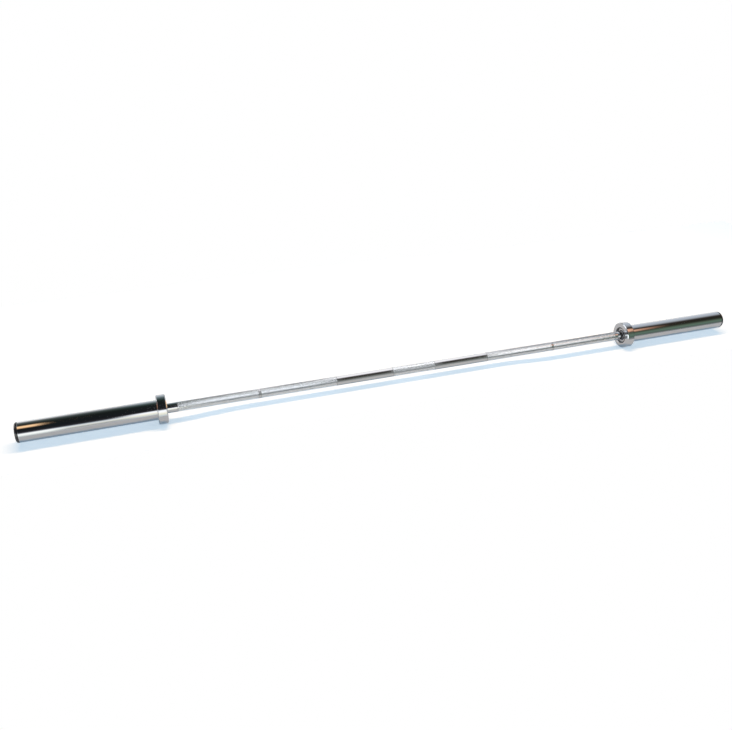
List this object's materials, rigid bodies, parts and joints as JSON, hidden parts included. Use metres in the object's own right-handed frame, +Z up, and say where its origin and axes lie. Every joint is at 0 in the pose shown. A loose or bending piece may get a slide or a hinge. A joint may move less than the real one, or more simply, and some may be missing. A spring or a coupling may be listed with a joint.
{
  "type": "barbell",
  "caption": "Straight steel bar with a knurled grip and a free-turning sleeve behind a collar at each end, to hold weight plates for lifting.",
  "frame": {"origin": "on the floor, under the middle of the bar, midway between the two collars", "axes": "+X along the bar towards the right sleeve, +Y across it, +Z up"},
  "size_m": [2.01, 0.074, 0.074],
  "materials": {
    "grip_chrome": "hard chrome, knurled and polished",
    "polished_chrome": "polished hard chrome",
    "bright_steel": "turned and ground bright steel",
    "phosphated_steel": "black phosphated spring steel",
    "bronze": "plain bearing bronze",
    "black_rubber": "black nitrile rubber",
    "black_plastic": "glossy black moulded plastic"
  },
  "bodies": {
    "shaft": {"shaft": "grip_chrome", "left_shaft_circlip": "phosphated_steel", "right_shaft_circlip": "phosphated_steel"},
    "left_sleeve": {"left_collar": "polished_chrome", "left_sleeve_tube": "polished_chrome", "left_retaining_ring": "phosphated_steel", "left_cover_washer": "bright_steel", "left_dust_seal": "black_rubber", "left_inner_thrust_washer": "bronze", "left_inner_bearing_shell": "bright_steel", "left_inner_needle_cage": "bright_steel", "left_outer_bearing_shell": "bright_steel", "left_outer_needle_cage": "bright_steel", "left_outer_thrust_washer": "bronze", "left_end_cap": "black_plastic"},
    "right_sleeve": {"right_collar": "polished_chrome", "right_sleeve_tube": "polished_chrome", "right_retaining_ring": "phosphated_steel", "right_cover_washer": "bright_steel", "right_dust_seal": "black_rubber", "right_inner_thrust_washer": "bronze", "right_inner_bearing_shell": "bright_steel", "right_inner_needle_cage": "bright_steel", "right_outer_bearing_shell": "bright_steel", "right_outer_needle_cage": "bright_steel", "right_outer_thrust_washer": "bronze", "right_end_cap": "black_plastic"}
  },
  "joints": [
    {"name": "left_sleeve_spin", "type": "hinge", "parent": "shaft", "child": "left_sleeve", "pos_m": [-0.83, 0, 0.037], "axis": [1, 0, 0], "continuous": true},
    {"name": "right_sleeve_spin", "type": "hinge", "parent": "shaft", "child": "right_sleeve", "pos_m": [0.83, 0, 0.037], "axis": [1, 0, 0], "continuous": true}
  ]
}
